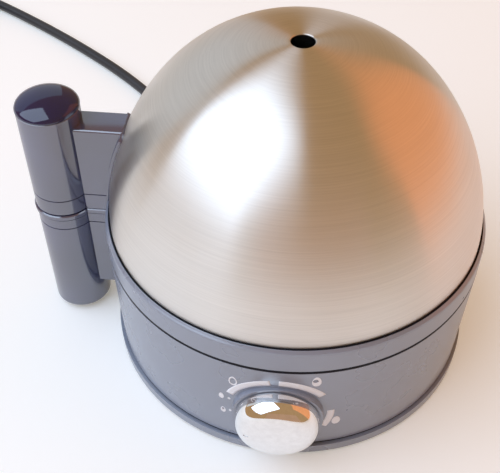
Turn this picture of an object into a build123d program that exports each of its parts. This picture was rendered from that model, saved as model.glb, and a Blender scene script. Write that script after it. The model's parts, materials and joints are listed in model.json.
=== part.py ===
from build123d import *
import math
import os

os.makedirs("parts", exist_ok=True)

# Electric egg cooker. Millimetres. The vertical axis of the pot is Z, the floor is z = 0,
# the control knob faces -Y and the handle points to -X.

# Driving sizes of the outside
lid_r = 88.0
dome_height = 89.0
steel = 0.8
rim_top_z = 79.4
rim_wall = 2.5
skirt_r = lid_r + rim_wall
seam_z = 65.6
seam_gap = 1.1
housing_draft = 1.3
base_low_r = skirt_r - housing_draft
base_low_z = 8.3
foot_overhang = 0.2
foot_ring_r = skirt_r + foot_overhang
foot_ring_top_z = 7.05
handle_reach = 19.8
handle_x = -(skirt_r + handle_reach)
handle_r = 17.0
handle_top_z = 129.4
handle_low_z = 7.4
bridge_top_z = 120.0
bridge_half = 7.5
knob_z = 33.7
knob_r = 18.8
boss_out = 1.1
boss_face = skirt_r + boss_out
steam_hole_r = 5.15

# Walls and clearances
wall = 2.4
seat_gap = 0.1
slide_gap = 0.3
shaft_clearance = 0.06
cord_d = 6.7
cord_r = cord_d / 2

# Shape of the dome: the powers of its superellipse
dome_power_r = 2 / 2.362
dome_power_z = 2 / 1.6911

# Levels that several pieces share
ledge_z = 60.0
gasket_t = 1.0
bowl_rim_z = ledge_z + gasket_t
bowl_floor_z = 44.0
bowl_t = 1.0
plate_top_z = 75.0
plate_t = 2.2
lid_seat_z = 76.3
bowl_inset = 3.5
bowl_rim_r = lid_r - bowl_inset
ledge_w = 6.5
ledge_in_r = bowl_rim_r - ledge_w
web_end = lid_r - 28.0
lid_screw_levels = (rim_top_z + 12.6, rim_top_z + 30.6)
inner_wall_r = skirt_r - wall - 0.3


def dome_point(angle, inset):
    """A point (r, z) of the dome's outline, moved inward by inset along the normal."""
    def outline(a):
        return (lid_r * math.cos(a) ** dome_power_r, rim_top_z + dome_height * math.sin(a) ** dome_power_z)
    step = 1e-4
    r0, z0 = outline(max(angle - step, 0.0))
    r1, z1 = outline(angle + step)
    length = math.hypot(r1 - r0, z1 - z0)
    r, z = outline(angle)
    return (r - inset * (z1 - z0) / length, z + inset * (r1 - r0) / length)


def dome_curve(inset, stop_r):
    """Points of the dome's outline from the rim to the radius stop_r, by equal steps of the angle."""
    top = math.acos((stop_r / lid_r) ** (1 / dome_power_r))
    count = 13
    points = [dome_point(top * (i / count) ** 0.9, inset) for i in range(count + 1)]
    points[0] = (lid_r - inset, rim_top_z)
    points[-1] = (stop_r, points[-1][1])
    return points


def dome_solid(inset, low_z):
    """The full dome as a closed solid with its skin moved inward by inset."""
    curve = dome_curve(inset, 1.0)
    with BuildPart() as solid:
        with BuildSketch(Plane.XZ):
            with BuildLine():
                Polyline((0, curve[-1][1]), (0, low_z), (curve[0][0], low_z), curve[0])
                Spline(*curve)
                Line(curve[-1], (0, curve[-1][1]))
            make_face()
        revolve(axis=Axis.Z)
    return solid.part


def radial(azimuth, radius, z):
    """A plane that faces outward, square to the radius at this azimuth."""
    a = math.radians(azimuth)
    out = (math.cos(a), math.sin(a), 0)
    return Plane(origin=(radius * out[0], radius * out[1], z), x_dir=(-out[1], out[0], 0), z_dir=out)


def front(depth):
    """A plane at this distance in front of the axis, facing -Y, with its origin on the knob's axis."""
    return Plane(origin=(0, -depth, knob_z), x_dir=(1, 0, 0), z_dir=(0, -1, 0))


def ring_place(radius, azimuth, z):
    a = math.radians(azimuth)
    return Plane(origin=(radius * math.cos(a), radius * math.sin(a), z))


def save(part, name):
    part.label = name
    export_step(part, f"parts/{name}.step")


# Base housing: a drafted shell with a ledge for the bowl, screw posts and the knob's boss
post_r = 4.2
post_inset = 9.2
post_ring = base_low_r - post_inset
post_angles = (30, 150, 270 + 40)
cover_top_z = 5.0
cover_bottom_z = 3.0
screw_hole_r = 1.3
boss_r = 20.3
boss_front_t = 3.0
boss_depth = 8.6
boss_hollow_r = 17.6
bush_r = 5.0
gland_azimuth = 118.0
gland_z = 21.0
gland_neck_r = 5.4

with BuildPart() as base_housing:
    with BuildSketch(Plane.XZ):
        with BuildLine():
            Polyline(
                (base_low_r, base_low_z), (skirt_r, seam_z - 0.8), (skirt_r - 0.8, seam_z),
                (inner_wall_r + 0.3, seam_z), (inner_wall_r, ledge_z), (ledge_in_r, ledge_z),
                (ledge_in_r, ledge_z - 8), (ledge_in_r + 2, ledge_z - 8), (ledge_in_r + 2, ledge_z - wall),
                (inner_wall_r, ledge_z - wall), (base_low_r - wall, base_low_z), close=True)
        make_face()
    revolve(axis=Axis.Z)
    for azimuth in post_angles:
        with BuildSketch(ring_place(post_ring, azimuth, cover_top_z)):
            Circle(post_r)
        extrude(amount=ledge_z - wall - cover_top_z)
        with BuildSketch(ring_place(post_ring, azimuth, cover_top_z)):
            Circle(screw_hole_r)
        extrude(amount=18, mode=Mode.SUBTRACT)
    with BuildSketch(front(boss_face)):
        Circle(boss_r)
    extrude(amount=-boss_depth)
    with BuildSketch(front(boss_face - boss_front_t)):
        Circle(boss_hollow_r)
    extrude(amount=-12, mode=Mode.SUBTRACT)
    with BuildSketch(front(boss_face)):
        Circle(bush_r)
    extrude(amount=-2 * boss_front_t, mode=Mode.SUBTRACT)
    with BuildSketch(radial(gland_azimuth, post_ring, gland_z)):
        Circle(gland_neck_r)
    extrude(amount=20, mode=Mode.SUBTRACT)
save(base_housing.part, "base_housing")

# Bottom cover: foot ring, shadow gap, locating wall, vents
foot_ring_in = foot_ring_r - 2.7
locate_r = base_low_r - wall - 0.3
vent_count = 8
foot_place_r = foot_ring_in - 18.0
foot_angles = (0, 80, 180, 260)
foot_neck_r = 2.4
cover_screw_r = 1.25

with BuildPart() as bottom_cover:
    with BuildSketch(Plane.XZ):
        with BuildLine():
            Polyline(
                (0, cover_bottom_z), (foot_ring_in, cover_bottom_z), (foot_ring_in, 1.0),
                (foot_ring_r - 1.0, 1.0), (foot_ring_r, 2.0), (foot_ring_r, foot_ring_top_z),
                (locate_r, foot_ring_top_z), (locate_r, 13.0), (locate_r - 2, 13.0),
                (locate_r - 2, cover_top_z), (0, cover_top_z), close=True)
        make_face()
    revolve(axis=Axis.Z)
    for i in range(vent_count):
        with BuildSketch(Plane.XY.rotated((0, 0, i * 360 / vent_count + 22.5))):
            with BuildLine():
                Polyline((30, -1.5), (46, -1.5), (46, 1.5), (30, 1.5), close=True)
            make_face()
        extrude(amount=8, mode=Mode.SUBTRACT)
    for azimuth in foot_angles:
        with BuildSketch(ring_place(foot_place_r, azimuth, 0)):
            Circle(foot_neck_r)
        extrude(amount=8, mode=Mode.SUBTRACT)
    for azimuth in post_angles:
        with BuildSketch(ring_place(post_ring, azimuth, 0)):
            Circle(cover_screw_r + 0.35)
        extrude(amount=8, mode=Mode.SUBTRACT)
save(bottom_cover.part, "bottom_cover")

for i, azimuth in enumerate(foot_angles):
    with BuildPart() as rubber_foot:
        with BuildSketch(ring_place(foot_place_r, azimuth, 0)):
            Circle(7)
        extrude(amount=cover_bottom_z)
        fillet(rubber_foot.edges().group_by(Axis.Z)[0], 0.8)
        with BuildSketch(ring_place(foot_place_r, azimuth, cover_bottom_z)):
            Circle(foot_neck_r)
        extrude(amount=cover_top_z - cover_bottom_z)
        with BuildSketch(ring_place(foot_place_r, azimuth, cover_top_z)):
            Circle(foot_neck_r + 0.9)
        extrude(amount=1.2, taper=30)
    save(rubber_foot.part, f"rubber_foot_{i + 1}")

for i, azimuth in enumerate(post_angles):
    with BuildPart() as cover_screw:
        with BuildSketch(ring_place(post_ring, azimuth, cover_bottom_z - 1.8)):
            Circle(2.9)
        extrude(amount=1.8)
        with BuildSketch(ring_place(post_ring, azimuth, cover_bottom_z)):
            Circle(cover_screw_r)
        extrude(amount=13)
        with BuildSketch(ring_place(post_ring, azimuth, cover_bottom_z - 1.8)):
            Rectangle(3.4, 0.7)
            Rectangle(0.7, 3.4)
        extrude(amount=0.9, mode=Mode.SUBTRACT)
    save(cover_screw.part, f"cover_screw_{i + 1}")

# Heating bowl, its gasket, and the heating set under it
bowl_wall_top = bowl_rim_r - 8.2
bowl_wall_low = bowl_rim_r - 14.1
bowl_flat_r = bowl_rim_r - 21.5

with BuildPart() as bowl_gasket:
    with BuildSketch(Plane.XY.offset(ledge_z)):
        Circle(bowl_rim_r - 1.5)
        Circle(ledge_in_r + 0.6, mode=Mode.SUBTRACT)
    extrude(amount=gasket_t)
save(bowl_gasket.part, "bowl_gasket")

with BuildPart() as heating_bowl:
    with BuildSketch(Plane.XZ):
        with BuildLine():
            Polyline((bowl_rim_r, bowl_rim_z + bowl_t), (bowl_wall_top, bowl_rim_z + bowl_t),
                     (bowl_wall_low, bowl_floor_z + 4.8))
            ThreePointArc((bowl_wall_low, bowl_floor_z + 4.8), (bowl_wall_low - 2.8, bowl_floor_z + 2.0),
                          (bowl_flat_r, bowl_floor_z + bowl_t))
            Polyline(
                (bowl_flat_r, bowl_floor_z + bowl_t), (0, bowl_floor_z + bowl_t), (0, bowl_floor_z),
                (bowl_flat_r, bowl_floor_z), (bowl_flat_r + 5.3, bowl_floor_z + 1.2),
                (bowl_wall_low + 0.9, bowl_floor_z + 4.4), (ledge_in_r - 1.0, bowl_rim_z),
                (bowl_rim_r, bowl_rim_z), (bowl_rim_r, bowl_rim_z + bowl_t))
        make_face()
    revolve(axis=Axis.Z)
save(heating_bowl.part, "heating_bowl")

spreader_r = 48.0
spreader_t = 4.0
stud_r = 2.5
spreader_low = bowl_floor_z - spreader_t
stud_low = 24.0

with BuildPart() as heat_spreader:
    with BuildSketch(Plane.XY.offset(spreader_low)):
        Circle(spreader_r)
    extrude(amount=spreader_t)
    with BuildSketch(Plane.XY.offset(stud_low)):
        Circle(stud_r)
    extrude(amount=spreader_low - stud_low)
save(heat_spreader.part, "heat_spreader")

element_r = 3.5
element_ring_r = 36.0
element_gap = 50
element_z = spreader_low - element_r
pin_r = 1.6
pin_low = 20.0

with BuildPart() as heating_element:
    with BuildSketch(Plane.XZ):
        with BuildLine():
            CenterArc((element_ring_r, element_z), element_r, 0, 360)
        make_face()
    revolve(axis=Axis.Z, revolution_arc=360 - element_gap)
    for azimuth in (4, 360 - element_gap - 4):
        with BuildSketch(ring_place(element_ring_r, azimuth, pin_low)):
            Circle(pin_r)
        extrude(amount=element_z - pin_low)
save(heating_element.part, "heating_element")

bracket_z = 33.0
nut_h = 3.0
shield_t = 1.0
shield_top = bracket_z - nut_h

with BuildPart() as thermostat:
    with BuildSketch(ring_place(18, 150, bracket_z + shield_t)):
        Circle(8)
    extrude(amount=spreader_low - bracket_z - shield_t)
    with BuildSketch(ring_place(18, 150, bracket_z + 2)):
        Rectangle(24, 4)
    extrude(amount=0.8)
save(thermostat.part, "thermostat")

with BuildPart() as thermostat_bracket:
    with BuildSketch(Plane.XY.offset(bracket_z).rotated((0, 0, 150))):
        Rectangle(28, 10, align=(Align.MIN, Align.CENTER))
        Circle(5)
        Circle(stud_r + 0.1, mode=Mode.SUBTRACT)
    extrude(amount=shield_t)
save(thermostat_bracket.part, "thermostat_bracket")

with BuildPart() as thermal_fuse:
    with BuildSketch(Plane(origin=(20, -14, spreader_low - 2.5), x_dir=(1, 0, 0), z_dir=(0, -1, 0))):
        Circle(2.5)
    extrude(amount=-14)
    with BuildSketch(Plane(origin=(20, -20, spreader_low - 2.5), x_dir=(1, 0, 0), z_dir=(0, -1, 0))):
        Circle(0.6)
    extrude(amount=-26)
save(thermal_fuse.part, "thermal_fuse")

with BuildPart() as heat_shield:
    with BuildSketch(Plane.XY.offset(shield_top - shield_t)):
        Circle(54)
        Circle(stud_r + 0.1, mode=Mode.SUBTRACT)
    extrude(amount=shield_t)
    with BuildSketch(Plane.XY.offset(shield_top - shield_t)):
        Circle(55)
        Circle(54, mode=Mode.SUBTRACT)
    extrude(amount=5)
    for azimuth in (4, 360 - element_gap - 4):
        with BuildSketch(ring_place(element_ring_r, azimuth, shield_top - 2)):
            Circle(pin_r + 3)
        extrude(amount=4, mode=Mode.SUBTRACT)
save(heat_shield.part, "heat_shield")

for i, low in enumerate((shield_top, shield_top - shield_t - nut_h)):
    with BuildPart() as stud_nut:
        with BuildSketch(Plane.XY.offset(low)):
            RegularPolygon(4.6, 6)
            Circle(stud_r, mode=Mode.SUBTRACT)
        extrude(amount=nut_h)
    save(stud_nut.part, f"stud_nut_{i + 1}")

# Rotary control behind the knob: case, bush, nut and shaft
shaft_r = 3.0
bush_front = boss_face + 2.2
case_front = boss_face - boss_front_t
case_back = boss_face - 19.6
shaft_back = boss_face - 15.6
shaft_front = boss_face + 9.4

with BuildPart() as control_regulator:
    with BuildSketch(front(case_front)):
        Rectangle(28, 18)
    extrude(amount=-(case_front - case_back))
    with BuildSketch(front(case_front)):
        Circle(bush_r)
    extrude(amount=bush_front - case_front)
    for side in (-8, 8):
        with BuildSketch(Plane(origin=(side, -case_back, knob_z), x_dir=(1, 0, 0), z_dir=(0, 1, 0))):
            Rectangle(0.8, 6.3)
        extrude(amount=8)
    with BuildSketch(front(bush_front)):
        Circle(shaft_r + shaft_clearance)
    extrude(amount=-(bush_front - shaft_back + 0.2), mode=Mode.SUBTRACT)
save(control_regulator.part, "control_regulator")

with BuildPart() as regulator_nut:
    with BuildSketch(front(boss_face)):
        RegularPolygon(7.8, 6)
        Circle(bush_r, mode=Mode.SUBTRACT)
    extrude(amount=1.8)
save(regulator_nut.part, "regulator_nut")

# Knob: chromed shell with a rounded shoulder, inner core, clip and shaft
knob_back = boss_face + 0.4
shoulder_r = 8.0
shoulder_d = knob_back + 3.2
face_r = 60.0
knob_skin = 1.2
pointer_angle = 195.0
pointer_from = 1.5
pointer_to = 14.3
pointer_w = 0.7
pointer_deep = 0.35


def knob_solid(inset, back):
    """The knob's outer shape moved inward by inset: side, shoulder arc and a slightly domed face."""
    side_r = knob_r - inset
    shoulder = shoulder_r - inset
    centre_r = knob_r - shoulder_r
    tilt = math.asin(centre_r / (face_r - shoulder_r))
    middle = (math.pi / 2 + tilt) / 2

    def on_shoulder(angle):
        return (centre_r + shoulder * math.sin(angle), shoulder_d + shoulder * math.cos(angle))
    face_centre = shoulder_d - (face_r - shoulder_r) * math.cos(tilt)
    skin_r = face_r - inset
    face_top = face_centre + skin_r
    face_point = (skin_r * math.sin(tilt / 2), face_centre + skin_r * math.cos(tilt / 2))
    place = Plane(origin=(0, 0, knob_z), x_dir=(1, 0, 0), z_dir=(0, 0, 1))
    with BuildPart() as solid:
        with BuildSketch(place):
            with BuildLine():
                Polyline((0, face_top), (0, back), (side_r, back), (side_r, shoulder_d))
                ThreePointArc((side_r, shoulder_d), on_shoulder(middle), on_shoulder(tilt))
                ThreePointArc(on_shoulder(tilt), face_point, (0, face_top))
            make_face()
        revolve(axis=Axis((0, 0, knob_z), (0, 1, 0)))
    return solid.part.rotate(Axis((0, 0, knob_z), (0, 0, 1)), 180)


with BuildPart() as knob_shell:
    add(knob_solid(0, knob_back))
    add(knob_solid(knob_skin, knob_back - 1), mode=Mode.SUBTRACT)
    with BuildPart(mode=Mode.PRIVATE) as pointer:
        with BuildSketch(front(knob_back + 8).rotated((0, 0, pointer_angle))):
            with BuildLine():
                Polyline((pointer_from, -pointer_w / 2), (pointer_to, -pointer_w / 2),
                         (pointer_to, pointer_w / 2), (pointer_from, pointer_w / 2), close=True)
            make_face()
        extrude(amount=10)
        add(knob_solid(pointer_deep, knob_back - 1), mode=Mode.SUBTRACT)
    add(pointer.part, mode=Mode.SUBTRACT)
save(knob_shell.part, "knob_shell")

hub_r = 4.7
hub_back = bush_front + 0.5
core_back = knob_back + 7.0

with BuildPart() as knob_core:
    with BuildSketch(front(core_back)):
        Circle(knob_r)
    extrude(amount=shoulder_r)
    add(knob_solid(knob_skin, knob_back), mode=Mode.INTERSECT)
    with BuildSketch(front(hub_back)):
        Circle(hub_r)
    extrude(amount=core_back - hub_back + 0.5)
    with BuildSketch(front(hub_back - 0.5)):
        Circle(shaft_r)
    extrude(amount=shaft_front - hub_back + 0.5, mode=Mode.SUBTRACT)
save(knob_core.part, "knob_core")

with BuildPart() as shaft_clip:
    with BuildSketch(front(hub_back + 0.8)):
        Circle(hub_r + 0.6)
        Circle(hub_r, mode=Mode.SUBTRACT)
        Rectangle(20, 2, align=(Align.MIN, Align.CENTER), mode=Mode.SUBTRACT)
    extrude(amount=2.2)
save(shaft_clip.part, "shaft_clip")

with BuildPart() as regulator_shaft:
    with BuildSketch(front(shaft_back)):
        Circle(shaft_r)
    extrude(amount=shaft_front - shaft_back)
save(regulator_shaft.part, "regulator_shaft")

# Egg tray: skirt, rim, seat for the lid, plate with seven holes, spigot into the housing
egg_hole_r = 20.5
egg_count = 6
skirt_low = seam_z + seam_gap
spigot_out = inner_wall_r - slide_gap
spigot_in = bowl_rim_r + 0.6
egg_ring_r = spigot_in - 31.1
rim_in = lid_r + 0.25

with BuildPart() as egg_tray:
    with BuildSketch(Plane.XZ):
        with BuildLine():
            Polyline(
                (0, plate_top_z), (spigot_in - 0.6, plate_top_z), (spigot_in, lid_seat_z), (rim_in, lid_seat_z),
                (rim_in, rim_top_z - 0.5), (rim_in + 0.4, rim_top_z), (skirt_r - 1.3, rim_top_z - 0.2),
                (skirt_r - 0.8, rim_top_z - 0.8), (skirt_r - 0.3, rim_top_z - 1.3), (skirt_r, rim_top_z - 2.2),
                (skirt_r, skirt_low),
                (spigot_out, skirt_low), (spigot_out, ledge_z + seat_gap), (spigot_in, ledge_z + seat_gap),
                (spigot_in, plate_top_z - plate_t - 1.0), (spigot_in - 1, plate_top_z - plate_t),
                (0, plate_top_z - plate_t), close=True)
        make_face()
    revolve(axis=Axis.Z)
    for i in range(egg_count):
        with BuildSketch(ring_place(egg_ring_r, i * 360 / egg_count, plate_top_z - 6)):
            Circle(egg_hole_r + 2.0)
        extrude(amount=7.2)
    with BuildSketch(Plane.XY.offset(plate_top_z - 6)):
        Circle(egg_hole_r + 2.0)
    extrude(amount=7.2)
    for i in range(egg_count):
        with BuildSketch(ring_place(egg_ring_r, i * 360 / egg_count, plate_top_z - 7)):
            Circle(egg_hole_r)
        extrude(amount=10, mode=Mode.SUBTRACT)
    with BuildSketch(Plane.XY.offset(plate_top_z - 7)):
        Circle(egg_hole_r)
    extrude(amount=10, mode=Mode.SUBTRACT)
    for side in (-1, 1):
        with BuildSketch(Plane(origin=(-skirt_r - 1, side * 4.5, 70.0), x_dir=(0, 1, 0), z_dir=(1, 0, 0))):
            Circle(1.3)
        extrude(amount=8, mode=Mode.SUBTRACT)
save(egg_tray.part, "egg_tray")

# Handle: the lower half is on the tray and the upper half on the lid
lip_r = handle_r + 0.5
lip_half = bridge_half + 0.5
lower_low = handle_low_z
lower_split = 62.5
lip_low = 68.6
lip_top = 71.5
collar_low = lip_top + slide_gap
collar_top = 81.0
handle_wall = 2.2
house_clear = 0.9


def handle_slice(low, high, radius, half):
    """The handle's outline from low to high: a round grip and the web that joins it to the pot."""
    with BuildPart() as piece:
        with BuildSketch(Plane(origin=(handle_x, 0, low))):
            Circle(radius)
            Rectangle(-handle_x - web_end, 2 * half, align=(Align.MIN, Align.CENTER))
        extrude(amount=high - low)
    return piece.part


def pot_column(radius, low, high):
    with BuildPart() as column:
        with BuildSketch(Plane.XY.offset(low)):
            Circle(radius)
        extrude(amount=high - low)
    return column.part


def web_top(low, high, half, edge_r):
    """The web from the grip to the pot, with its two long top edges rounded."""
    with BuildPart() as piece:
        with BuildSketch(Plane(origin=(handle_x, 0, 0), x_dir=(0, 1, 0), z_dir=(1, 0, 0))) as section:
            with BuildLine():
                Polyline((-half, low), (half, low), (half, high), (-half, high), close=True)
            make_face()
            fillet(section.vertices().group_by(Axis.Z)[-1], edge_r)
        extrude(amount=-handle_x - web_end)
    return piece.part


def grip_plane(z):
    return Plane(origin=(handle_x, 0, z))


with BuildPart() as tray_handle_shell:
    add(handle_slice(lower_low, lower_split, handle_r - 0.1, bridge_half))
    with BuildSketch(Plane(origin=(handle_x, 0, 0), x_dir=(1, 0, 0), z_dir=(0, -1, 0))):
        with BuildLine():
            Polyline((handle_r - 0.5, 0), (handle_r - 0.5, 15.0), (handle_r + 2.4, 19.3), (60, 19.3),
                     (60, 0), close=True)
        make_face()
    extrude(amount=30, both=True, mode=Mode.SUBTRACT)
    add(pot_column(skirt_r + house_clear, 0, lower_split + 1), mode=Mode.SUBTRACT)
    with BuildSketch(grip_plane(lower_low + 3)):
        Circle(handle_r - handle_wall)
    extrude(amount=lower_split - lower_low, mode=Mode.SUBTRACT)
    with BuildSketch(Plane(origin=(handle_x + 8, 0, 24))):
        Rectangle(8, 2 * (bridge_half - handle_wall), align=(Align.MIN, Align.CENTER))
    extrude(amount=40, mode=Mode.SUBTRACT)
    fillet(tray_handle_shell.edges().filter_by(GeomType.CIRCLE).group_by(Axis.Z)[0], 1.6)
save(tray_handle_shell.part, "tray_handle_shell")

with BuildPart() as tray_handle_collar:
    add(handle_slice(lower_split, lip_low, handle_r - 0.1, bridge_half))
    add(handle_slice(lip_low, lip_top, lip_r, lip_half))
    add(pot_column(skirt_r + house_clear, 0, skirt_low), mode=Mode.SUBTRACT)
    add(pot_column(skirt_r, skirt_low - 1, 90), mode=Mode.SUBTRACT)
    with BuildSketch(grip_plane(lower_split)):
        Circle(handle_r - handle_wall)
    extrude(amount=lip_low - lower_split - 1, mode=Mode.SUBTRACT)
    for side in (-1, 1):
        with BuildSketch(Plane(origin=(-skirt_r - 9, side * 4.5, 70.0), x_dir=(0, 1, 0), z_dir=(1, 0, 0))):
            Circle(1.2)
        extrude(amount=12, mode=Mode.SUBTRACT)
save(tray_handle_collar.part, "tray_handle_collar")

with BuildPart() as tray_handle_plug:
    with BuildSketch(grip_plane(lower_split - 6)):
        Circle(handle_r - handle_wall)
    extrude(amount=6 + lip_low - lower_split - 1)
    with BuildSketch(grip_plane(lower_split - 6)):
        Circle(handle_r - handle_wall - 2)
    extrude(amount=8, mode=Mode.SUBTRACT)
save(tray_handle_plug.part, "tray_handle_plug")

for i, side in enumerate((-1, 1)):
    with BuildPart() as tray_handle_screw:
        seat = Plane(origin=(0.35 - spigot_in, side * 4.5, 70.0), x_dir=(0, 1, 0), z_dir=(-1, 0, 0))
        with BuildSketch(seat):
            Circle(2.3)
        extrude(amount=-1.6)
        with BuildSketch(seat):
            Circle(1.2)
        extrude(amount=13)
    save(tray_handle_screw.part, f"tray_handle_screw_{i + 1}")

# Lid: dome with its steam hole and turned-in hem, handle, cap, collar, backing plate and screws
hem_w = 1.9
hem_h = 1.3
lid_low = lid_seat_z + seat_gap

with BuildPart() as lid_dome:
    outer = dome_curve(0.0, steam_hole_r)
    inner_curve = dome_curve(steel, steam_hole_r)
    with BuildSketch(Plane.XZ):
        with BuildLine():
            Polyline(inner_curve[0], (lid_r - steel, lid_low + hem_h), (lid_r - hem_w, lid_low + hem_h),
                     (lid_r - hem_w, lid_low), (lid_r, lid_low), outer[0])
            Spline(*outer)
            Line(outer[-1], inner_curve[-1])
            Spline(*inner_curve[::-1])
        make_face()
    revolve(axis=Axis.Z)
    for z in lid_screw_levels:
        with BuildSketch(Plane(origin=(-web_end, 0, z), x_dir=(0, 1, 0), z_dir=(-1, 0, 0))):
            Circle(2.1)
        extrude(amount=40, mode=Mode.SUBTRACT)
save(lid_dome.part, "lid_dome")

full_dome = dome_solid(0.0, 60.0)
pad_half = 10.5
pad_t = 1.8

with BuildPart() as lid_handle_shell:
    with BuildSketch(grip_plane(collar_top)):
        Circle(handle_r)
    extrude(amount=handle_top_z - collar_top)
    add(web_top(collar_top, bridge_top_z, bridge_half, 1.2))
    with BuildPart(mode=Mode.PRIVATE) as pad:
        with BuildSketch(Plane(origin=(-web_end, 0, 0), x_dir=(0, -1, 0), z_dir=(-1, 0, 0))) as pad_face:
            with BuildLine():
                Polyline((-pad_half, collar_top), (pad_half, collar_top), (pad_half, bridge_top_z),
                         (-pad_half, bridge_top_z), close=True)
            make_face()
            fillet(pad_face.vertices().group_by(Axis.Z)[-1], 4.0)
        extrude(amount=45)
        add(dome_solid(-pad_t, 60.0), mode=Mode.INTERSECT)
    add(pad.part)
    add(full_dome, mode=Mode.SUBTRACT)
    with BuildSketch(grip_plane(collar_top - 1)):
        Circle(handle_r - handle_wall)
    extrude(amount=60, mode=Mode.SUBTRACT)
    with BuildSketch(Plane(origin=(handle_x + 8, 0, collar_top + 4))):
        Rectangle(10, 2 * (bridge_half - handle_wall), align=(Align.MIN, Align.CENTER))
    extrude(amount=bridge_top_z - handle_wall - collar_top - 4, mode=Mode.SUBTRACT)
    for z in lid_screw_levels:
        with BuildSketch(Plane(origin=(-web_end, 0, z), x_dir=(0, 1, 0), z_dir=(-1, 0, 0))):
            Circle(1.4)
        extrude(amount=36, mode=Mode.SUBTRACT)
save(lid_handle_shell.part, "lid_handle_shell")

with BuildPart() as lid_handle_collar:
    add(handle_slice(collar_low, collar_top, handle_r, bridge_half))
    add(pot_column(skirt_r + 0.5, 60, rim_top_z + 0.5), mode=Mode.SUBTRACT)
    add(full_dome, mode=Mode.SUBTRACT)
    with BuildSketch(grip_plane(collar_low + 2.5)):
        Circle(handle_r - handle_wall)
    extrude(amount=20, mode=Mode.SUBTRACT)
save(lid_handle_collar.part, "lid_handle_collar")

cap_height = 7.2
cap_r = handle_r + 0.1
cap_plug_r = handle_r - handle_wall

with BuildPart() as lid_handle_cap:
    with BuildSketch(Plane(origin=(handle_x, 0, 0), x_dir=(1, 0, 0), z_dir=(0, -1, 0))):
        with BuildLine():
            Spline((cap_r, handle_top_z + 0.4), (0, handle_top_z + cap_height), tangents=((0, 1), (-1, 0)))
            Polyline((0, handle_top_z + cap_height), (0, handle_top_z + 1.5), (cap_plug_r - 2, handle_top_z + 1.5),
                     (cap_plug_r - 2, handle_top_z - 6), (cap_plug_r, handle_top_z - 6),
                     (cap_plug_r, handle_top_z), (cap_r, handle_top_z), (cap_r, handle_top_z + 0.4))
        make_face()
    revolve(axis=Axis((handle_x, 0, 0), (0, 0, 1)))
save(lid_handle_cap.part, "lid_handle_cap")

with BuildPart() as lid_backing_plate:
    with BuildSketch(Plane(origin=(-40, 0, sum(lid_screw_levels) / 2), x_dir=(0, 1, 0), z_dir=(-1, 0, 0))):
        RectangleRounded(14, 30, 3)
    extrude(amount=60)
    add(dome_solid(steel + 0.02, 60.0), mode=Mode.INTERSECT)
    add(dome_solid(steel + 1.2, 59.0), mode=Mode.SUBTRACT)
    for z in lid_screw_levels:
        with BuildSketch(Plane(origin=(-web_end, 0, z), x_dir=(0, 1, 0), z_dir=(-1, 0, 0))):
            Circle(2.1)
        extrude(amount=40, mode=Mode.SUBTRACT)
save(lid_backing_plate.part, "lid_backing_plate")


def dome_radius(z):
    """Outer radius of the dome at this height."""
    a = math.asin(((z - rim_top_z) / dome_height) ** (1 / dome_power_z))
    return lid_r * math.cos(a) ** dome_power_r


for i, z in enumerate(lid_screw_levels):
    head = dome_radius(z + 4) - steel - 1.6
    with BuildPart() as lid_handle_screw:
        with BuildSketch(Plane(origin=(-head, 0, z), x_dir=(0, 1, 0), z_dir=(-1, 0, 0))):
            Circle(4.0)
        extrude(amount=-1.8)
        with BuildSketch(Plane(origin=(-head, 0, z), x_dir=(0, 1, 0), z_dir=(-1, 0, 0))):
            Circle(1.4)
        extrude(amount=lid_r + 7 - head)
    save(lid_handle_screw.part, f"lid_handle_screw_{i + 1}")

# Cord entry: gland, inner cable, clamp, terminal block and wires
gland_in = base_low_r - 5.2
gland_flange = base_low_r + 1.4
gland_out = base_low_r + 28.8
inner_end = base_low_r - 31.2
a = math.radians(gland_azimuth)
gland_dir = (math.cos(a), math.sin(a), 0)

with BuildPart() as cord_gland:
    with BuildSketch(Plane(origin=(0, 0, gland_z), x_dir=gland_dir, z_dir=(0, 0, 1))):
        with BuildLine():
            Polyline((gland_in, cord_r), (gland_in, 7.2), (gland_in + 2, 7.2), (gland_in + 2, gland_neck_r),
                     (gland_flange, gland_neck_r), (gland_flange, 7.6), (gland_flange + 2.4, 7.2),
                     (gland_out, cord_r + 1.1), (gland_out, cord_r), close=True)
        make_face()
    revolve(axis=Axis((0, 0, gland_z), gland_dir))
save(cord_gland.part, "cord_gland")

with BuildPart() as inner_cable:
    with BuildSketch(radial(gland_azimuth, inner_end, gland_z)):
        Circle(cord_r)
    extrude(amount=gland_out - inner_end - 0.5)
save(inner_cable.part, "inner_cable")

clamp_at = base_low_r - 19.2
clamp_half = 10.0
clamp_low = cover_top_z - gland_z

with BuildPart() as cord_clamp:
    with BuildSketch(radial(gland_azimuth, clamp_at, gland_z)):
        with BuildLine():
            Polyline((-clamp_half, clamp_low), (clamp_half, clamp_low), (clamp_half, 6), (-clamp_half, 6),
                     close=True)
        make_face()
    extrude(amount=6, both=True)
    with BuildSketch(radial(gland_azimuth, clamp_at, gland_z)):
        Circle(cord_r)
    extrude(amount=8, both=True, mode=Mode.SUBTRACT)
save(cord_clamp.part, "cord_clamp")

block_x, block_y = -22.0, 30.0
with BuildPart() as terminal_block:
    with BuildSketch(Plane(origin=(block_x, block_y, cover_top_z))):
        Rectangle(28, 14)
    extrude(amount=12)
    for i in range(3):
        with BuildSketch(Plane(origin=(block_x - 9 + 9 * i, block_y, cover_top_z + 12))):
            Circle(1.8)
        extrude(amount=-4, mode=Mode.SUBTRACT)
save(terminal_block.part, "terminal_block")

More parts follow.
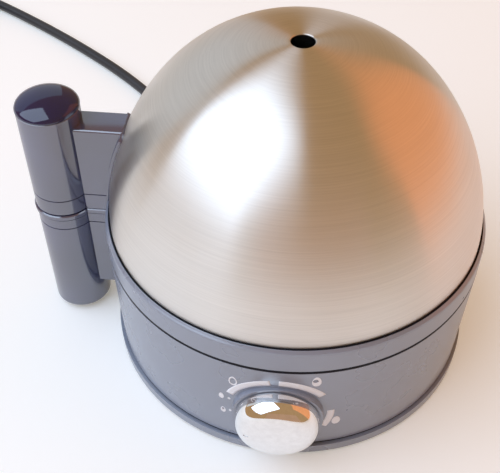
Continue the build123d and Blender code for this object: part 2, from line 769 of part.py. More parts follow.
wire_r = 1.2
cable_tip = (inner_end * math.cos(a), inner_end * math.sin(a))
pin_angle = [math.radians(4), math.radians(360 - element_gap - 4)]
pin_at = [(element_ring_r * math.cos(t), element_ring_r * math.sin(t)) for t in pin_angle]
block_side = block_y - 7.0
wire_down = -case_back + 13.5
wire_routes = {
    "wire_supply": [(*cable_tip, gland_z), (cable_tip[0] * 0.9, cable_tip[1] * 0.9, gland_z), (block_x, 43.0, 11),
                    (block_x, block_y + 7, 11)],
    "wire_live": [(-8, -case_back + 8, knob_z), (-8, wire_down, knob_z), (-8, wire_down, 22), (-14, -20, 14),
                  (block_x, 4, 11), (block_x, block_side, 11)],
    "wire_element": [(8, -case_back + 8, knob_z), (8, wire_down, knob_z), (8, wire_down, 20),
                     (*pin_at[1], 11), (*pin_at[1], pin_low)],
    "wire_neutral": [(block_x + 9, block_side, 11), (block_x + 9, 14, 11), (16, 8, 12), (*pin_at[0], 12),
                     (*pin_at[0], pin_low)],
}
for name, route in wire_routes.items():
    with BuildPart() as wire:
        with BuildLine() as path:
            FilletPolyline(*route, radius=2.0)
        run = path.wires()[0]
        with BuildSketch(Plane(origin=run @ 0, z_dir=run % 0)):
            Circle(wire_r)
        sweep(path=run)
    save(wire.part, name)

# Power cord: a list of points joined by straight runs and tangent arcs, then a coil, a tail and a plug
coil_z = cord_r + 0.55
coil_out_r = 40.0
coil_start_angle = 60.0
coil_centre = (-300.6, 263.4)
turns_in = 1.5
turns_out = 1.25
turn_pitch = 7.3
layer_rise = 7.25


def corner_radii(points):
    """For each corner, 0.45 of the shorter run divided by the tangent of half the turn."""
    radii = []
    for p, q, r in zip(points, points[1:], points[2:]):
        before = Vector(*q) - Vector(*p)
        after = Vector(*r) - Vector(*q)
        half = math.radians(before.get_angle(after)) / 2
        radii.append(0.45 * min(before.length, after.length) / math.tan(half))
    return radii


def cord_tube(points, label):
    radii = corner_radii(points)
    with BuildPart() as tube:
        with BuildLine() as path:
            FilletPolyline(*points, radius=radii)
        route = path.wires()[0]
        with BuildSketch(Plane(origin=route @ 0, z_dir=route % 0)):
            Circle(cord_r)
        sweep(path=route)
    expected = route.length * math.pi * cord_r ** 2
    print(label, "radii", [round(r, 1) for r in radii], "length", round(route.length, 1),
          "volume ratio", round(tube.part.volume / expected, 4))
    return tube.part, route.length


def coil_place(turn):
    """Centre line of the coil after this many turns: in, up a layer in a half turn, and out again."""
    climb = 0.5
    if turn <= turns_in:
        r, z = coil_out_r - turn_pitch * turn, 0.0
    elif turn < turns_in + climb:
        s = (turn - turns_in) / climb
        r = coil_out_r - turn_pitch * (turns_in + climb * (s - s * s))
        z = layer_rise * (1 - math.cos(math.pi * s)) / 2
    else:
        r, z = coil_out_r - turn_pitch * (2 * turns_in + climb - turn), layer_rise
    angle = math.radians(coil_start_angle) + 2 * math.pi * turn
    return Vector(coil_centre[0] + r * math.cos(angle), coil_centre[1] + r * math.sin(angle), coil_z + z)


def coil_heading(turn):
    step = 1e-4
    return (coil_place(turn + step) - coil_place(turn - step)).normalized()


def biarc(p0, t0, p1, t1):
    """Two arcs that join p0 to p1, tangent to t0, to each other and to t1."""
    v = p1 - p0
    t = t0 + t1
    k = 2 * (1 - t0.dot(t1))
    d = (-v.dot(t) + math.sqrt(v.dot(t) ** 2 + k * v.dot(v))) / k
    joint = (p0 + p1 + (t0 - t1) * d) * 0.5
    first = Edge.make_tangent_arc(p0, t0, joint)
    return [first, Edge.make_tangent_arc(joint, first % 1, p1)]


total_turns = turns_in + 0.5 + turns_out
quarters = round(total_turns * 4)
stations = [total_turns * i / quarters for i in range(quarters + 1)]
places = [coil_place(t) for t in stations]
headings = [coil_heading(t) for t in stations]
headings[0] = Vector(headings[0].X, headings[0].Y, 0).normalized()
lead_in = places[0] - headings[0] * cord_d
lead_out = places[-1] + headings[-1] * cord_d
last_run = lead_in - headings[0] * 34
cord_route = [
    (gland_out * math.cos(a), gland_out * math.sin(a), gland_z), (-64.8, 121.9, gland_z), (-79, 143, 14.5),
    (-99, 165.5, cord_r), (-126, 193.5, cord_r), (-160, 221.5, cord_r), (-200, 250.5, cord_r),
    tuple(last_run), tuple(lead_in),
]
cord_part, cord_length = cord_tube(cord_route, "power_cord")
save(cord_part, "power_cord")

coil_edges = [Edge.make_line(lead_in, places[0])]
for i in range(quarters):
    coil_edges += biarc(places[i], headings[i], places[i + 1], headings[i + 1])
coil_edges.append(Edge.make_line(places[-1], lead_out))
coil_wire = Wire(coil_edges)
with BuildPart() as cord_coil:
    with BuildSketch(Plane(origin=lead_in, z_dir=headings[0])):
        Circle(cord_r)
    sweep(path=coil_wire)
save(cord_coil.part, "cord_coil")

samples = [coil_wire @ (i / 600) for i in range(601)]
step_length = coil_wire.length / 600
skip = int(3 * cord_d / step_length)
least = min((samples[i] - samples[j]).length for i in range(0, 601, 2) for j in range(i + skip, 601, 2))
print("coil length", round(coil_wire.length, 1), "least gap to itself", round(least - cord_d, 2))

plug_axis_z = 18.5
tail_dir = Vector(headings[-1].X, headings[-1].Y, 0).normalized()
up = Vector(0, 0, 1)
top_z = lead_out.Z
tail_rise = up * (plug_axis_z - top_z)
tail_route = [lead_out, lead_out + tail_dir * 18, lead_out + tail_dir * 38 + tail_rise,
              lead_out + tail_dir * 56 + tail_rise]
tail_part, tail_length = cord_tube([tuple(p) for p in tail_route], "cord_tail")
save(tail_part, "cord_tail")
print("cord length", round(cord_length + coil_wire.length + tail_length, 1))

plug_back = tail_route[-1]
plug_plane = Plane(origin=plug_back, x_dir=tail_dir, z_dir=up)
plug_r = 18.2
relief = 26.0
plug_len = 36.0
pin_pitch = 19.0
side_dir = tail_dir.cross(up)
slot_centre = plug_back + tail_dir * (relief + plug_len - 9)

with BuildPart() as plug_body:
    with BuildSketch(plug_plane):
        with BuildLine():
            Polyline((0, 0), (0, 4.6), (relief, 6.4), (relief + 3, 13.0))
            ThreePointArc((relief + 3, 13.0), (relief + 6, 16.8), (relief + 11, plug_r))
            Polyline((relief + 11, plug_r), (relief + plug_len - 1, plug_r), (relief + plug_len, plug_r - 1),
                     (relief + plug_len, 0), (0, 0))
        make_face()
    revolve(axis=Axis(plug_back, tail_dir))
    for side in (-1, 1):
        with BuildSketch(Plane(origin=slot_centre + side_dir * side * plug_r, x_dir=tail_dir, z_dir=side_dir)):
            Rectangle(20, 7)
        extrude(amount=2.2, both=True, mode=Mode.SUBTRACT)
save(plug_body.part, "plug_body")

for i, side in enumerate((-1, 1)):
    spot = plug_back + tail_dir * (relief + plug_len)
    with BuildPart() as plug_pin:
        with BuildSketch(Plane(origin=spot + up * (side * pin_pitch / 2), x_dir=up, z_dir=tail_dir)):
            Circle(2.4)
        extrude(amount=19)
        fillet(plug_pin.edges().sort_by(Axis(spot, tail_dir))[-1], 1.2)
    save(plug_pin.part, f"plug_pin_{i + 1}")
    print("plug pin", i + 1, "base", tuple(spot + up * (side * pin_pitch / 2)), "axis", tuple(tail_dir))

with BuildPart() as plug_earth_clips:
    for side in (-1, 1):
        with BuildSketch(Plane(origin=slot_centre + side_dir * side * (plug_r - 1.8), x_dir=tail_dir,
                               z_dir=side_dir)):
            Rectangle(16, 4)
        extrude(amount=0.4, both=True)
save(plug_earth_clips.part, "plug_earth_clips")

tie_angle = math.radians(200)
tie_r = coil_out_r - turn_pitch * turns_in / 2 - 1.0
tie_centre = Vector(coil_centre[0] + tie_r * math.cos(tie_angle), coil_centre[1] + tie_r * math.sin(tie_angle),
                    coil_z + layer_rise / 2)
tie_w, tie_h, tie_t = 24.0, layer_rise + cord_d + 0.2, 0.4

with BuildPart() as coil_tie:
    with BuildSketch(Plane(origin=tie_centre, x_dir=(math.cos(tie_angle), math.sin(tie_angle), 0),
                           z_dir=(-math.sin(tie_angle), math.cos(tie_angle), 0))):
        RectangleRounded(tie_w, tie_h + 2 * tie_t, 3.2)
        RectangleRounded(tie_w - 2 * tie_t, tie_h, 2.8, mode=Mode.SUBTRACT)
    extrude(amount=3, both=True)
save(coil_tie.part, "coil_tie")
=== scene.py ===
import json
import math

import bpy
import numpy as np
from mathutils import Matrix, Vector


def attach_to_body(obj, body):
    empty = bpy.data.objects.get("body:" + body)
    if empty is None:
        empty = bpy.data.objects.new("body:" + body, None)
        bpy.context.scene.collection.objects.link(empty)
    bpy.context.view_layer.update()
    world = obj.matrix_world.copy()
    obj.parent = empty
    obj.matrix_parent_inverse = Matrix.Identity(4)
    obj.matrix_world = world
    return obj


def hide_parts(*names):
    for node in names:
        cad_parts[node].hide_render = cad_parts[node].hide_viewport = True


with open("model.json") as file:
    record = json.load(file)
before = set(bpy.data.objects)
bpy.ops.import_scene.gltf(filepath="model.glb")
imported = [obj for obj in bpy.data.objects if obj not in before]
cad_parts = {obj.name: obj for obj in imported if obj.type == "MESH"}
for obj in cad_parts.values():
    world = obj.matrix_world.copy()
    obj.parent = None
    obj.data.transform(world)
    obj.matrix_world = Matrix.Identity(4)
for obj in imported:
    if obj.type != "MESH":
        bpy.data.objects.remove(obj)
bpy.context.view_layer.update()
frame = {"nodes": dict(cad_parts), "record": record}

nodes = frame["nodes"]
scene = bpy.context.scene
scene.view_settings.view_transform = "Standard"

# Sizes in metres, as the frame has them
lid_r = 0.088
dome_height = 0.089
power_r, power_z = 2 / 2.362, 2 / 1.6911
rim_z = 0.0794
steel = 0.0008
hole_r = 0.00515
knob_z = 0.0337
housing_low = (0.0892, 0.0083)
housing_high = (0.0905, 0.0648)
cord_d = 0.0067
cord_r = cord_d / 2


# Camera
def add_camera():
    """The camera that the photograph was solved to: place, view directions and lens."""
    right = Vector((0.99507, 0.09920, 0.00176))
    up = Vector((-0.07251, 0.71495, 0.69540))
    forward = Vector((-0.06773, 0.69210, -0.71862))
    data = bpy.data.cameras.new("camera")
    data.sensor_width = 36.0
    data.lens = 61.7
    data.clip_start = 0.01
    camera = bpy.data.objects.new("camera", data)
    turn = Matrix((right, up, -forward)).transposed().to_4x4()
    camera.matrix_world = Matrix.Translation((0.00783, -0.29899, 0.36262)) @ turn
    scene.collection.objects.link(camera)
    scene.camera = camera


add_camera()


# Mesh helpers
def grid_faces(rows, columns, close_rows=False, close_columns=False):
    """Quads of a grid of points: each joins two neighbours in a row with the same two in the next row."""
    i = np.arange(rows if close_rows else rows - 1)[:, None]
    j = np.arange(columns if close_columns else columns - 1)[None, :]
    low, high = i * columns, (i + 1) % rows * columns
    left, right = j, (j + 1) % columns
    corners = np.broadcast_arrays(low + left, low + right, high + right, high + left)
    return np.stack(corners, axis=-1).reshape(-1, 4)


def mesh_piece(name, points, faces, ends=(), sharp=35.0):
    """An object from points, quads and end faces, smooth apart from edges sharper than the angle."""
    mesh = bpy.data.meshes.new(name)
    mesh.from_pydata(points.reshape(-1, 3).tolist(), [], faces.tolist() + [end.tolist() for end in ends])
    mesh.update()
    mesh.shade_smooth()
    mesh.set_sharp_from_angle(angle=math.radians(sharp))
    piece = bpy.data.objects.new(name, mesh)
    scene.collection.objects.link(piece)
    return piece


def turned(name, profile, steps=256, centre=(0.0, 0.0)):
    """A closed profile (r, z) turned about the upright line through centre: x = r cos t, y = r sin t."""
    t = np.linspace(0, 2 * np.pi, steps, endpoint=False)
    r, z = profile[:, :1], profile[:, 1:]
    points = np.stack([centre[0] + r * np.cos(t), centre[1] + r * np.sin(t), z + 0 * t], axis=-1)
    return mesh_piece(name, points, grid_faces(len(profile), steps, close_rows=True, close_columns=True))


def dome_outline(inset, stop_r, count):
    """Superellipse r = R cos(a)^0.847, z = z0 + h sin(a)^1.183, moved inward by inset along its normal."""
    top = math.acos((stop_r / lid_r) ** (1 / power_r))
    a = np.clip(top * np.linspace(0.0, 1.0, count), 1e-4, None)
    r = lid_r * np.cos(a) ** power_r
    z = rim_z + dome_height * np.sin(a) ** power_z
    dr, dz = np.gradient(r, a), np.gradient(z, a)
    length = np.hypot(dr, dz)
    return np.stack([r - inset * dz / length, z + inset * dr / length], axis=-1)


def dome_radius(z):
    """Outer radius of the dome at height z, from r = R cos(a)^0.847 with sin(a)^1.183 = (z - z0) / h."""
    a = np.arcsin(np.clip((z - rim_z) / dome_height, 0, 1) ** (1 / power_z))
    return lid_r * np.cos(a) ** power_r


def disc_grid(count):
    """A square grid p, q from -1 to 1 on the unit disc: x = p sqrt(1 - q^2 / 2), y = q sqrt(1 - p^2 / 2)."""
    q, p = np.meshgrid(np.linspace(-1, 1, count), np.linspace(-1, 1, count), indexing="ij")
    return p * np.sqrt(1 - q ** 2 / 2), q * np.sqrt(1 - p ** 2 / 2)


# Materials
def new_material(name):
    """A material, its node tree and its shader."""
    material = bpy.data.materials.new(name)
    material.use_nodes = True
    shader = material.node_tree.nodes["Principled BSDF"]
    return material, material.node_tree, shader


def object_coords(tree):
    return tree.nodes.new("ShaderNodeTexCoord").outputs["Object"]


def noise(tree, vector, scale, detail=3.0, roughness=0.5):
    node = tree.nodes.new("ShaderNodeTexNoise")
    node.inputs["Scale"].default_value = scale
    node.inputs["Detail"].default_value = detail
    node.inputs["Roughness"].default_value = roughness
    tree.links.new(vector, node.inputs["Vector"])
    return node.outputs["Fac"]


def ramp(tree, value, low, high, out_low, out_high):
    node = tree.nodes.new("ShaderNodeMapRange")
    node.inputs["From Min"].default_value = low
    node.inputs["From Max"].default_value = high
    node.inputs["To Min"].default_value = out_low
    node.inputs["To Max"].default_value = out_high
    tree.links.new(value, node.inputs["Value"])
    return node.outputs["Result"]


def bump(tree, shader, height, distance, strength=1.0):
    node = tree.nodes.new("ShaderNodeBump")
    node.inputs["Distance"].default_value = distance
    node.inputs["Strength"].default_value = strength
    tree.links.new(height, node.inputs["Height"])
    tree.links.new(node.outputs["Normal"], shader.inputs["Normal"])


def mix_color(tree, fac, one, two):
    node = tree.nodes.new("ShaderNodeMix")
    node.data_type = "RGBA"
    node.inputs["A"].default_value = (*one, 1)
    node.inputs["B"].default_value = (*two, 1)
    tree.links.new(fac, node.inputs["Factor"])
    return node.outputs["Result"]


def moulded(name, color, rough, ior=1.5, grain=900.0, depth=0.00001, vary=0.06, tint=None):
    """Moulded plastic or rubber: base colour with a slow mottle, grain in roughness and a fine bump."""
    material, tree, shader = new_material(name)
    coords = object_coords(tree)
    slow = noise(tree, coords, 35.0)
    other = tint or tuple(c * 1.5 + 0.002 for c in color)
    mottle = ramp(tree, slow, 0.35, 0.65, 0.0, 1.0)
    tree.links.new(mix_color(tree, mottle, color, other), shader.inputs["Base Color"])
    fine = noise(tree, coords, grain, 2.0)
    tree.links.new(ramp(tree, slow, 0.3, 0.7, rough - vary / 2, rough + vary / 2), shader.inputs["Roughness"])
    shader.inputs["IOR"].default_value = ior
    bump(tree, shader, fine, depth)
    return material


def ring_coords(tree, around, across):
    """Coordinates that run slowly round the vertical axis and fast along the outline."""
    split = tree.nodes.new("ShaderNodeSeparateXYZ")
    tree.links.new(object_coords(tree), split.inputs["Vector"])

    def calc(kind, one, two):
        node = tree.nodes.new("ShaderNodeMath")
        node.operation = kind
        for socket, value in zip(node.inputs, (one, two)):
            if isinstance(value, float):
                socket.default_value = value
            else:
                tree.links.new(value, socket)
        return node.outputs["Value"]
    x, y, z = split.outputs["X"], split.outputs["Y"], split.outputs["Z"]
    angle = calc("ARCTAN2", y, x)
    squares = calc("ADD", calc("MULTIPLY", x, x), calc("MULTIPLY", y, y))
    radius = calc("SQRT", squares, 0.0)
    join = tree.nodes.new("ShaderNodeCombineXYZ")
    tree.links.new(calc("MULTIPLY", angle, around), join.inputs["X"])
    tree.links.new(calc("MULTIPLY", radius, across), join.inputs["Y"])
    tree.links.new(calc("MULTIPLY", z, across), join.inputs["Z"])
    return join.outputs["Vector"]


def metal(name, color, rough, aniso=0.0, brushed=False, vary=0.08, depth=0.000004):
    """Metal: colour and roughness vary slowly, and a brushed one has fine lines round the vertical axis."""
    material, tree, shader = new_material(name)
    shader.inputs["Metallic"].default_value = 1.0
    coords = ring_coords(tree, 1.3, 1500.0) if brushed else object_coords(tree)
    lines = noise(tree, coords, 1.0 if brushed else 400.0, 4.0, 0.65)
    slow = noise(tree, object_coords(tree), 22.0)
    other = tuple(c * 0.9 for c in color)
    stripes = ramp(tree, lines, 0.3, 0.7, 0.0, 1.0)
    tree.links.new(mix_color(tree, stripes, color, other), shader.inputs["Base Color"])
    tree.links.new(ramp(tree, slow, 0.3, 0.7, rough - vary / 2, rough + vary / 2), shader.inputs["Roughness"])
    shader.inputs["Anisotropic"].default_value = aniso
    shader.inputs["Anisotropic Rotation"].default_value = 0.25 if aniso else 0.0
    if aniso:
        tangent = tree.nodes.new("ShaderNodeTangent")
        tangent.direction_type = "RADIAL"
        tangent.axis = "Z"
        tree.links.new(tangent.outputs["Tangent"], shader.inputs["Tangent"])
    bump(tree, shader, lines, depth)
    return material


look = {
    "gloss_black": moulded("gloss black plastic", (0.030, 0.032, 0.080), 0.14, ior=2.5, depth=0.000002),
    "housing_black": moulded("housing plastic", (0.205, 0.235, 0.312), 0.28, ior=2.2, depth=0.000004,
                             vary=0.03, tint=(0.213, 0.243, 0.322)),
    "cap_black": moulded("polished cap plastic", (0.003, 0.003, 0.040), 0.07, ior=1.7, depth=0.000001,
                         vary=0.03),
    # Painted shade: a near-black matte look for the rings that fill the gaps and stand in for their shade
    "painted_shade_black": moulded("painted shade black", (0.002, 0.002, 0.006), 0.7, ior=1.3),
    "matte_black": moulded("matte black plastic", (0.02, 0.02, 0.021), 0.5, grain=1500.0, depth=0.00003),
    "dome_steel": metal("brushed dome steel", (0.79, 0.765, 0.73), 0.31, aniso=0.95, brushed=True, vary=0.05),
    "bowl_steel": metal("satin steel", (0.62, 0.61, 0.60), 0.32, aniso=0.5, brushed=True),
    "aluminium": metal("cast aluminium", (0.72, 0.72, 0.73), 0.42, depth=0.00003),
    "zinc_steel": metal("zinc plated steel", (0.66, 0.66, 0.64), 0.3),
    "brass": metal("turned brass", (0.78, 0.58, 0.26), 0.28),
    "chrome": metal("polished chrome", (0.86, 0.87, 0.88), 0.05, vary=0.02, depth=0.0000005),
    "soft_rubber": moulded("black rubber", (0.016, 0.016, 0.020), 0.42, grain=700.0, depth=0.00002),
    "silicone": moulded("grey silicone", (0.55, 0.55, 0.53), 0.5, depth=0.00002),
    "white_plastic": moulded("white plastic", (0.72, 0.72, 0.69), 0.4, tint=(0.66, 0.65, 0.61)),
    "brown_wire": moulded("brown wire sleeve", (0.16, 0.06, 0.03), 0.4),
    "blue_wire": moulded("blue wire sleeve", (0.03, 0.08, 0.3), 0.4),
    "print_white": moulded("white print", (0.93, 0.95, 1.00), 0.45, tint=(0.90, 0.92, 0.97)),
}


def dress(piece, look_name):
    piece.data.materials.clear()
    piece.data.materials.append(look[look_name])


for entry in frame["record"]["subparts"]:
    dress(nodes[entry["node"]], entry["material_slot"])
dress(nodes["base_housing"], "housing_black")
dress(nodes["egg_tray"], "housing_black")
dress(nodes["bottom_cover"], "housing_black")

# Cord: one smooth line along the route, round the coil and up to the plug
coil_centre = (-0.3006, 0.2634)
coil_out_r = 0.040
coil_start = math.radians(60)
coil_z = cord_r + 0.00055
turn_pitch = 0.0073
layer_rise = 0.00725
plug_z = 0.0185
turns_in = 1.5
turns_out = 1.25
route = [
    (-0.05540, 0.10419, 0.021), (-0.0648, 0.1219, 0.021), (-0.079, 0.143, 0.0145), (-0.099, 0.1655, cord_r),
    (-0.126, 0.1935, cord_r), (-0.160, 0.2215, cord_r), (-0.200, 0.2505, cord_r), (-0.2448, 0.2787, coil_z),
]


def coil_place(turn, grow):
    """The coil's centre line after this many turns: in, up a layer in a half turn, and out again."""
    climb = 0.5
    if turn <= turns_in:
        r, z = coil_out_r - turn_pitch * turn, 0.0
    elif turn < turns_in + climb:
        s = (turn - turns_in) / climb
        r = coil_out_r - turn_pitch * turns_in - turn_pitch * climb * (s - s * s)
        z = layer_rise * (1 - math.cos(math.pi * s)) / 2
    else:
        r, z = coil_out_r - turn_pitch * turns_in + turn_pitch * (turn - turns_in - climb), layer_rise
    angle = coil_start + 2 * math.pi * turn
    x = coil_centre[0] + r * grow * math.cos(angle)
    y = coil_centre[1] + r * grow * math.sin(angle)
    return x, y, coil_z + z


def add_cord():
    """The cord as one quadratic spline, which cuts inside the points of a turn by 2% of its radius.
    The coil's points stand out by that share."""
    steps = 16
    total = turns_in + 0.5 + turns_out
    grow = 1 / (0.75 + 0.25 * math.cos(2 * math.pi / steps))
    points = list(route)
    points += [coil_place(i / steps, grow) for i in range(round(total * steps) + 1)]
    last = Vector(coil_place(total, 1.0))
    away = Vector((-0.52611, -0.85041, 0))
    lift = Vector((0, 0, plug_z - last.z))
    plain = last + away * cord_d
    points += [tuple(plain), tuple(plain + away * 0.018)]
    points += [tuple(plain + away * 0.038 + lift), tuple(plain + away * 0.056 + lift)]
    curve = bpy.data.curves.new("power_lead", "CURVE")
    curve.dimensions = "3D"
    curve.bevel_depth = cord_r
    curve.bevel_resolution = 6
    curve.resolution_u = 6
    curve.use_fill_caps = True
    spline = curve.splines.new("NURBS")
    spline.points.add(len(points) - 1)
    for point, place in zip(spline.points, points):
        point.co = (*place, 1)
    spline.order_u = 3
    spline.use_endpoint_u = True
    lead = bpy.data.objects.new("power_lead", curve)
    scene.collection.objects.link(lead)
    lead.data.materials.append(look["soft_rubber"])
    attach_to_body(lead, "base")
    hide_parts("power_cord", "cord_coil", "cord_tail")


add_cord()


# Dome: outer and inner skins, a rounded edge at the steam hole and the turned-in hem
def add_dome():
    outer = dome_outline(0.0, hole_r + steel / 2, 90)
    inner = dome_outline(steel, hole_r + steel / 2, 60)
    outer[0], inner[0] = (lid_r, rim_z), (lid_r - steel, rim_z)
    t = np.linspace(0, math.pi, 9)[1:-1]
    middle = (outer[-1] + inner[-1]) / 2
    lip = np.stack([middle[0] - steel / 2 * np.sin(t), middle[1] + steel / 2 * np.cos(t)], axis=-1)
    hem_low, hem_high = 0.0764, 0.0777
    hem_r, edge = lid_r - 0.0019, 0.0002
    hem = [(lid_r - steel, hem_high), (hem_r + edge, hem_high), (hem_r, hem_high - edge),
           (hem_r, hem_low + edge), (hem_r + edge, hem_low), (lid_r - edge, hem_low), (lid_r, hem_low + edge)]
    profile = np.concatenate([outer, lip, inner[::-1], np.array(hem)])
    dome = turned("dome_skin", profile, 320)
    dress(dome, "dome_steel")
    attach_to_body(dome, "lid")
    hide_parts("lid_dome")


add_dome()


# Handle: a round grip and its web on the lid, the same on the tray, and the domed cap
handle_x = -0.1131
grip_r = 0.0146
tray_grip_r = grip_r - 0.0001
grip_low = 0.0036
axis_hole = 0.0006
web_half = 0.0076
tray_web_half = web_half - 0.0001
web_low = 0.0193
web_top = 0.120
split_low, split_high = 0.0715, 0.0718
cap_seam_z = 0.1272
cap_height = 0.0056
groove = 0.00035
lid_seam_z = 0.081
tray_seam_z = 0.0625
bead_out = 0.0007


def attach(piece, look_name, body, *replaced):
    """Gives a piece its look and body, and hides the nodes that it stands in for."""
    dress(piece, look_name)
    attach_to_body(piece, body)
    if replaced:
        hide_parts(*replaced)


def seam(radius, z):
    """Four corners of a fine groove round the height z, 0.6 mm high at its mouth and 0.4 mm at its floor."""
    mouth, floor = 0.0003, 0.0002
    line = radius - groove
    return [(radius, z - mouth), (line, z - floor), (line, z + floor), (radius, z + mouth)]


def bead(radius):
    """Seven corners up to the tray half's top edge: a fine groove, and over it a bead that stands out."""
    line, out = radius - groove, radius + bead_out
    return [(radius, 0.0681), (line, 0.0683), (line, 0.0686), (out - 0.0004, 0.0687), (out, 0.0691),
            (out, split_low - 0.0005), (out - 0.0005, split_low)]


def add_grips():
    """Both grips are profiles (r, z) turned about the handle's axis, from the axis hole out, up and back."""
    edge, cap_edge, foot_round = 0.0006, 0.0003, 0.0016
    lid_profile = [(axis_hole, split_high), (grip_r - edge, split_high), (grip_r, split_high + edge)]
    lid_profile += seam(grip_r, lid_seam_z)
    lid_profile += [(grip_r, cap_seam_z - cap_edge), (grip_r - cap_edge, cap_seam_z), (axis_hole, cap_seam_z)]
    foot_r, foot_z = tray_grip_r - foot_round, grip_low + foot_round
    bend = np.linspace(0, math.pi / 2, 7)
    tray_profile = [(axis_hole, grip_low)]
    tray_profile += [(foot_r + foot_round * math.sin(t), foot_z - foot_round * math.cos(t)) for t in bend]
    tray_profile += seam(tray_grip_r, tray_seam_z) + bead(tray_grip_r) + [(axis_hole, split_low)]
    centre = (handle_x, 0.0)
    attach(turned("lid_grip", np.array(lid_profile), 128, centre), "gloss_black", "lid",
           "lid_handle_shell", "lid_handle_collar")
    attach(turned("tray_grip", np.array(tray_profile), 128, centre), "gloss_black", "egg_tray",
           "tray_handle_shell", "tray_handle_collar", "tray_handle_plug")


def add_web(name, levels, end_x, body):
    """A bar along x, from inside the grip to x = end_x(z) at the pot. Its section is a loop, up the +y side
    by the levels (half width, z) and down the -y side by the same."""
    y, z = np.array(levels + [(-half, height) for half, height in levels[::-1]]).T
    rings, count = 7, len(y)
    start_x = handle_x + grip_r - 0.004
    t = np.linspace(0, 1, rings)[:, None]
    x = start_x + t * (end_x(z) - start_x)
    points = np.stack([x, y + 0 * x, z + 0 * x], axis=-1)
    first = np.arange(count)
    ends = (first[::-1], first + (rings - 1) * count)
    web = mesh_piece(name, points, grid_faces(rings, count, close_columns=True), ends=ends, sharp=30.0)
    attach(web, "gloss_black", body)


def add_webs():
    """The lid's web has round top edges and the tray's has the bead at its top, both with a fine groove."""
    edge = 0.0012
    side, top = web_half - edge, web_top - edge
    high = [(web_half, split_high)] + seam(web_half, lid_seam_z)
    high += [(web_half, z) for z in (0.088, 0.097, 0.106, 0.114)]
    high += [(side + edge * math.cos(t), top + edge * math.sin(t)) for t in np.linspace(0, math.pi / 2, 6)]
    add_web("lid_web", high, lambda z: -np.where(z < 0.0799, 0.0910, dome_radius(z) + 0.0009), "lid")
    low = [(tray_web_half, z) for z in (web_low, 0.035, 0.05)]
    low += seam(tray_web_half, tray_seam_z) + bead(tray_web_half)
    add_web("tray_web", low, lambda z: -np.where(z < 0.0667, 0.0914, 0.0904), "egg_tray")


def add_pad():
    """The web's foot on the dome: x = -sqrt((R(z) + 1.8 mm)^2 - y^2), its width rounded off to its top."""
    low, half, corner, out = 0.0803, 0.0105, 0.004, 0.0018
    turn_z = web_top - corner
    rounded = turn_z + corner * np.sin(np.linspace(0.12, 1.5, 10))
    z = np.concatenate([np.linspace(low, turn_z, 12), rounded])[:, None]
    width = half - corner + np.sqrt(np.clip(corner ** 2 - np.clip(z - turn_z, 0, None) ** 2, 0, None))
    y = width * np.linspace(1, -1, 17)[None, :]
    x = -np.sqrt((dome_radius(z) + out) ** 2 - y ** 2)
    pad = mesh_piece("lid_web_foot", np.stack([x, y, z + 0 * y], axis=-1), grid_faces(len(z), 17))
    wall = pad.modifiers.new("wall", "SOLIDIFY")
    wall.thickness = 0.00175
    wall.offset = -1.0
    edge = pad.modifiers.new("edge", "BEVEL")
    edge.width = 0.0005
    edge.segments = 2
    attach(pad, "gloss_black", "lid")


def add_cap():
    """Half an ellipsoid over a unit disc of radius a: r = R sin(a pi / 2), z = z0 + h cos(a pi / 2)."""
    count, cap_r, gap = 41, grip_r + 0.00015, 0.0002
    disc_x, disc_y = disc_grid(count)
    a = np.clip(np.hypot(disc_x, disc_y), 1e-9, 1.0)
    r = cap_r * np.sin(a * math.pi / 2) / a
    z = cap_seam_z + gap + cap_height * np.cos(a * math.pi / 2)
    points = np.stack([handle_x + r * disc_x, r * disc_y, z], axis=-1)
    cap = mesh_piece("lid_cap", points, grid_faces(count, count))
    wall = cap.modifiers.new("wall", "SOLIDIFY")
    wall.thickness = 0.0012
    wall.offset = -1.0
    attach(cap, "cap_black", "lid", "lid_handle_cap")


def add_gap_shades():
    """Painted shade: flat black square rings put into the gaps over the foot ring, under the tray's skirt and
    round the dome, to make these gaps as dark as their shade.
    """
    def ring(name, in_r, out_r, low, high, body):
        profile = np.array([(in_r, low), (out_r, low), (out_r, high), (in_r, high)])
        attach(turned(name, profile, 320), "painted_shade_black", body)
    ring("seam_shade_ring", 0.0894, 0.09040, 0.06475, 0.06655, "base")
    ring("foot_gap_shade_ring", 0.0870, 0.0889, 0.0071, 0.00825, "base")
    ring("rim_shade_ring", 0.08812, 0.08895, 0.0790, 0.07948, "egg_tray")


add_grips()
add_webs()
add_pad()
add_cap()
add_gap_shades()


# Dial print: thin inked patches that follow the housing's wall
ink_lift = 0.00006
shade_lift = 0.00009
ink_sink = 0.00003
dial_shift = (-0.0005, 0.0003)


def inked(name, u, w, faces, ink, lift):
    """Points u to the right of the knob's axis and w above it, put on the wall: y = -sqrt(R(z)^2 - u^2).
    R(z) runs straight from the housing's low edge to its high edge."""
    z = knob_z + w
    part = (z - housing_low[1]) / (housing_high[1] - housing_low[1])
    radius = housing_low[0] + part * (housing_high[0] - housing_low[0]) + lift
    piece = mesh_piece(name, np.stack([u, -np.sqrt(radius ** 2 - u ** 2), z], axis=-1), faces)
    depth = piece.modifiers.new("depth", "SOLIDIFY")
    depth.thickness = lift + ink_sink
    depth.offset = -1.0
    dress(piece, ink)
    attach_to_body(piece, "base")


def arc_print(name, from_deg, to_deg, in_r, out_r):
    """A band of a ring about the knob's axis: u = r cos t, w = r sin t, t falling so that it faces out."""
    t = np.radians(np.linspace(from_deg, to_deg, 33))[None, :]
    r = np.linspace(in_r, out_r, 5)[:, None]
    inked(name, r * np.cos(t), r * np.sin(t), grid_faces(5, 33), "print_white", ink_lift)


def egg_place(radius, deg, half_w, half_h, x, y):
    """An upright egg: a unit disc's x and y, narrower towards its top, about a point of the dial's ring."""
    t = math.radians(deg)
    centre_u, centre_w = radius * math.cos(t) + dial_shift[0], radius * math.sin(t) + dial_shift[1]
    return centre_u + half_w * x * (1 - 0.12 * y), centre_w + half_h * y


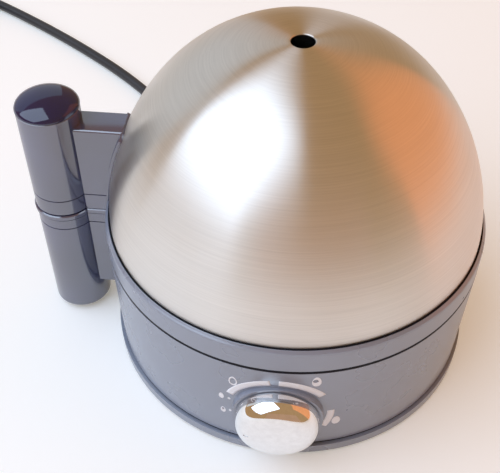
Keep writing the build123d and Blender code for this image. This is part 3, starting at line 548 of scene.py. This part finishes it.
def egg_print(name, radius, deg, half_w, half_h, ink="print_white", lift=ink_lift):
    """A filled egg from the grid of a disc."""
    count = 13
    x, y = disc_grid(count)
    u, w = egg_place(radius, deg, half_w, half_h, x, y)
    inked(name, u, w, grid_faces(count, count), ink, lift)


def egg_ring_print(name, radius, deg, half_w, half_h, hole):
    """The outline of an egg: x = k cos t, y = k sin t, k from hole to 1."""
    t = np.linspace(2 * np.pi, 0, 40, endpoint=False)[None, :]
    k = np.linspace(hole, 1.0, 4)[:, None]
    u, w = egg_place(radius, deg, half_w, half_h, k * np.cos(t), k * np.sin(t))
    inked(name, u, w, grid_faces(4, 40, close_columns=True), "print_white", ink_lift)


arc_print("dial_arc_soft", 158.5, 99.5, 0.0217, 0.0251)
arc_print("dial_arc_medium", 90.4, 36.0, 0.0217, 0.0253)
arc_print("dial_arc_hard", 3.0, -28.6, 0.0217, 0.0251)
egg_ring_print("dial_egg_soft", 0.0273, 136.1, 0.0019, 0.0032, 0.70)
egg_print("dial_egg_medium", 0.0298, 56.6, 0.0020, 0.0034)
egg_print("dial_egg_medium_yolk", 0.0301, 58.0, 0.0012, 0.0011, ink="gloss_black", lift=shade_lift)
egg_print("dial_egg_hard", 0.0280, -17.2, 0.0019, 0.0031)
egg_print("dial_mark_start", 0.0256, 169.9, 0.0012, 0.0021)
egg_print("dial_mark_off", 0.0255, 195.4, 0.0012, 0.0021)
egg_print("dial_mark_off_shade", 0.0253, 193.5, 0.0006, 0.0007, ink="gloss_black", lift=shade_lift)
egg_print("dial_dot_start", 0.0220, 169.4, 0.0007, 0.0008)
egg_print("dial_dot_off", 0.0220, 195.0, 0.0007, 0.0008)


# Floor and light
def add_floor():
    """A flat square grid at z = 0, with a glow that only the camera and the reflections see."""
    material, tree, shader = new_material("pale table")
    slow = noise(tree, object_coords(tree), 3.0)
    tree.links.new(mix_color(tree, slow, (0.84, 0.86, 0.90), (0.87, 0.89, 0.93)), shader.inputs["Base Color"])
    shader.inputs["Roughness"].default_value = 0.6
    rays = tree.nodes.new("ShaderNodeLightPath")
    seen = tree.nodes.new("ShaderNodeMath")
    seen.operation = "MAXIMUM"
    tree.links.new(rays.outputs["Is Camera Ray"], seen.inputs[0])
    tree.links.new(rays.outputs["Is Glossy Ray"], seen.inputs[1])
    tree.links.new(ramp(tree, seen.outputs["Value"], 0.0, 1.0, 0.0, 0.21), shader.inputs["Emission Strength"])
    shader.inputs["Emission Color"].default_value = (1.0, 0.997, 0.843, 1)
    side = np.linspace(-3.0, 3.0, 3)
    y, x = np.meshgrid(side, side, indexing="ij")
    floor = mesh_piece("table", np.stack([x, y, 0 * x], axis=-1), grid_faces(3, 3))
    floor.data.materials.append(material)


add_floor()


def add_lamp(name, place, aim, size, power, color):
    """A rectangular lamp at its place, turned to its aim and hidden from the camera."""
    data = bpy.data.lights.new(name, "AREA")
    data.shape = "RECTANGLE"
    data.size, data.size_y = size
    data.energy = power
    data.color = color
    lamp = bpy.data.objects.new(name, data)
    lamp.location = place
    lamp.rotation_euler = (Vector(aim) - Vector(place)).to_track_quat("-Z", "Y").to_euler()
    lamp.visible_camera = False
    scene.collection.objects.link(lamp)


pot_middle = (0, 0, 0.09)
add_lamp("window", (-0.88, -0.44, 1.35), pot_middle, (1.9, 1.9), 29.27, (0.602, 0.783, 1.0))
add_lamp("wood_glow", (0.99, 0.36, 0.72), (0, 0, 0.6), (1.5, 1.44), 3.33, (1.0, 0.223, 0.057))
add_lamp("front_room", (0.35, -1.5, 0.45), pot_middle, (2.0, 1.0), 0.39, (1.0, 0.537, 0.909))
add_lamp("back_wall", (-1.15, 1.2, 0.78), pot_middle, (2.2, 1.4), 5.36, (0.364, 0.702, 1.0))

world = bpy.data.worlds.new("room")
scene.world = world
world.use_nodes = True
background = world.node_tree.nodes["Background"]
background.inputs["Color"].default_value = (0.451, 0.277, 0.135, 1)
background.inputs["Strength"].default_value = 1.0
